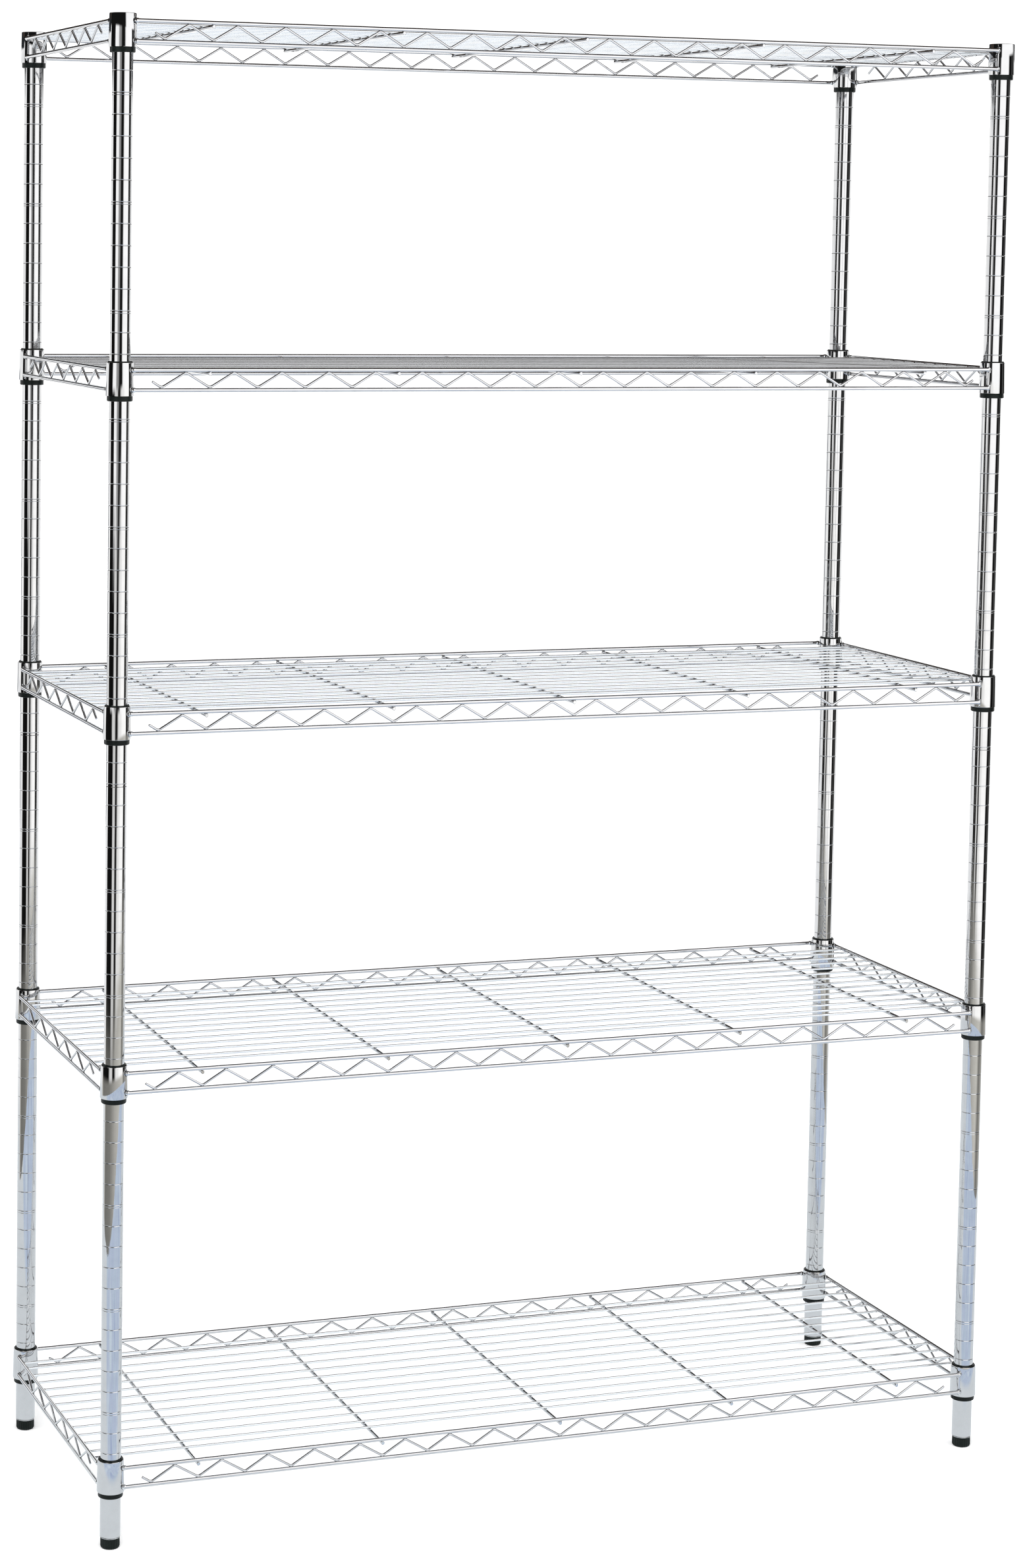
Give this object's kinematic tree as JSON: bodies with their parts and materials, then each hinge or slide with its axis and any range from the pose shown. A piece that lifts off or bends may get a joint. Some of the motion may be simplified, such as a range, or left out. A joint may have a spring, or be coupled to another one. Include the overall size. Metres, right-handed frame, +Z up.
{
  "type": "wire shelving rack",
  "caption": "Open wire shelving rack: chromed two-piece grooved posts on screw feet carry wire shelves clipped on tapered split sleeves, each able to lift off upwards.",
  "frame": {"origin": "on the floor, in the middle of the rack's footprint", "axes": "+Z up, +X to the right along the long side, -Y towards the front"},
  "size_m": [1.1986, 0.4536, 1.8365],
  "materials": {
    "post": "polished chrome plate",
    "shelf": "bright chrome plated wire",
    "sleeve": "black moulded plastic",
    "cap": "black moulded plastic",
    "pad": "black ribbed plastic",
    "insert": "bright zinc plate",
    "stud": "zinc plated thread",
    "connector": "zinc plated thread"
  },
  "bodies": {
    "frame": {"post_lower_front_left": "post", "post_upper_front_left": "post", "post_connector_front_left": "connector", "post_cap_front_left": "cap", "foot_insert_front_left": "insert", "post_lower_front_right": "post", "post_upper_front_right": "post", "post_connector_front_right": "connector", "post_cap_front_right": "cap", "foot_insert_front_right": "insert", "post_lower_rear_left": "post", "post_upper_rear_left": "post", "post_connector_rear_left": "connector", "post_cap_rear_left": "cap", "foot_insert_rear_left": "insert", "post_lower_rear_right": "post", "post_upper_rear_right": "post", "post_connector_rear_right": "connector", "post_cap_rear_right": "cap", "foot_insert_rear_right": "insert", "sleeve_1_front_left": "sleeve", "sleeve_1_front_right": "sleeve", "sleeve_1_rear_left": "sleeve", "sleeve_1_rear_right": "sleeve", "sleeve_2_front_left": "sleeve", "sleeve_2_front_right": "sleeve", "sleeve_2_rear_left": "sleeve", "sleeve_2_rear_right": "sleeve", "sleeve_3_front_left": "sleeve", "sleeve_3_front_right": "sleeve", "sleeve_3_rear_left": "sleeve", "sleeve_3_rear_right": "sleeve", "sleeve_4_front_left": "sleeve", "sleeve_4_front_right": "sleeve", "sleeve_4_rear_left": "sleeve", "sleeve_4_rear_right": "sleeve", "sleeve_5_front_left": "sleeve", "sleeve_5_front_right": "sleeve", "sleeve_5_rear_left": "sleeve", "sleeve_5_rear_right": "sleeve"},
    "shelf_1": {"shelf_1": "shelf"},
    "shelf_2": {"shelf_2": "shelf"},
    "shelf_3": {"shelf_3": "shelf"},
    "shelf_4": {"shelf_4": "shelf"},
    "shelf_5": {"shelf_5": "shelf"},
    "foot_stud_front_left": {"foot_stud_front_left": "stud"},
    "foot_pad_front_left": {"foot_pad_front_left": "pad"},
    "foot_stud_front_right": {"foot_stud_front_right": "stud"},
    "foot_pad_front_right": {"foot_pad_front_right": "pad"},
    "foot_stud_rear_left": {"foot_stud_rear_left": "stud"},
    "foot_pad_rear_left": {"foot_pad_rear_left": "pad"},
    "foot_stud_rear_right": {"foot_stud_rear_right": "stud"},
    "foot_pad_rear_right": {"foot_pad_rear_right": "pad"}
  },
  "joints": [
    {"name": "shelf_1_lift", "type": "slide", "parent": "frame", "child": "shelf_1", "axis": [0, 0, 1], "range_m": [0, 0.436]},
    {"name": "shelf_2_lift", "type": "slide", "parent": "frame", "child": "shelf_2", "axis": [0, 0, 1], "range_m": [0, 0.385]},
    {"name": "shelf_3_lift", "type": "slide", "parent": "frame", "child": "shelf_3", "axis": [0, 0, 1], "range_m": [0, 0.36]},
    {"name": "shelf_4_lift", "type": "slide", "parent": "frame", "child": "shelf_4", "axis": [0, 0, 1], "range_m": [0, 0.36]},
    {"name": "shelf_5_lift", "type": "slide", "parent": "frame", "child": "shelf_5", "axis": [0, 0, 1], "range_m": [0, 0.1]},
    {"name": "foot_travel_front_left", "type": "slide", "parent": "frame", "child": "foot_stud_front_left", "axis": [0, 0, -1], "range_m": [0, 0.015]},
    {"name": "foot_turn_front_left", "type": "hinge", "parent": "foot_stud_front_left", "child": "foot_pad_front_left", "pos_m": [-0.5825, -0.21, 0.006], "axis": [0, 0, -1], "range_deg": [0, 3600]},
    {"name": "foot_travel_front_right", "type": "slide", "parent": "frame", "child": "foot_stud_front_right", "axis": [0, 0, -1], "range_m": [0, 0.015]},
    {"name": "foot_turn_front_right", "type": "hinge", "parent": "foot_stud_front_right", "child": "foot_pad_front_right", "pos_m": [0.5825, -0.21, 0.006], "axis": [0, 0, -1], "range_deg": [0, 3600]},
    {"name": "foot_travel_rear_left", "type": "slide", "parent": "frame", "child": "foot_stud_rear_left", "axis": [0, 0, -1], "range_m": [0, 0.015]},
    {"name": "foot_turn_rear_left", "type": "hinge", "parent": "foot_stud_rear_left", "child": "foot_pad_rear_left", "pos_m": [-0.5825, 0.21, 0.006], "axis": [0, 0, -1], "range_deg": [0, 3600]},
    {"name": "foot_travel_rear_right", "type": "slide", "parent": "frame", "child": "foot_stud_rear_right", "axis": [0, 0, -1], "range_m": [0, 0.015]},
    {"name": "foot_turn_rear_right", "type": "hinge", "parent": "foot_stud_rear_right", "child": "foot_pad_rear_right", "pos_m": [0.5825, 0.21, 0.006], "axis": [0, 0, -1], "range_deg": [0, 3600]}
  ],
  "couplings": [
    {"joint": "foot_travel_front_left", "follows": "foot_turn_front_left", "m_per_rad": 0.00023873},
    {"joint": "foot_travel_front_right", "follows": "foot_turn_front_right", "m_per_rad": 0.00023873},
    {"joint": "foot_travel_rear_left", "follows": "foot_turn_rear_left", "m_per_rad": 0.00023873},
    {"joint": "foot_travel_rear_right", "follows": "foot_turn_rear_right", "m_per_rad": 0.00023873}
  ]
}
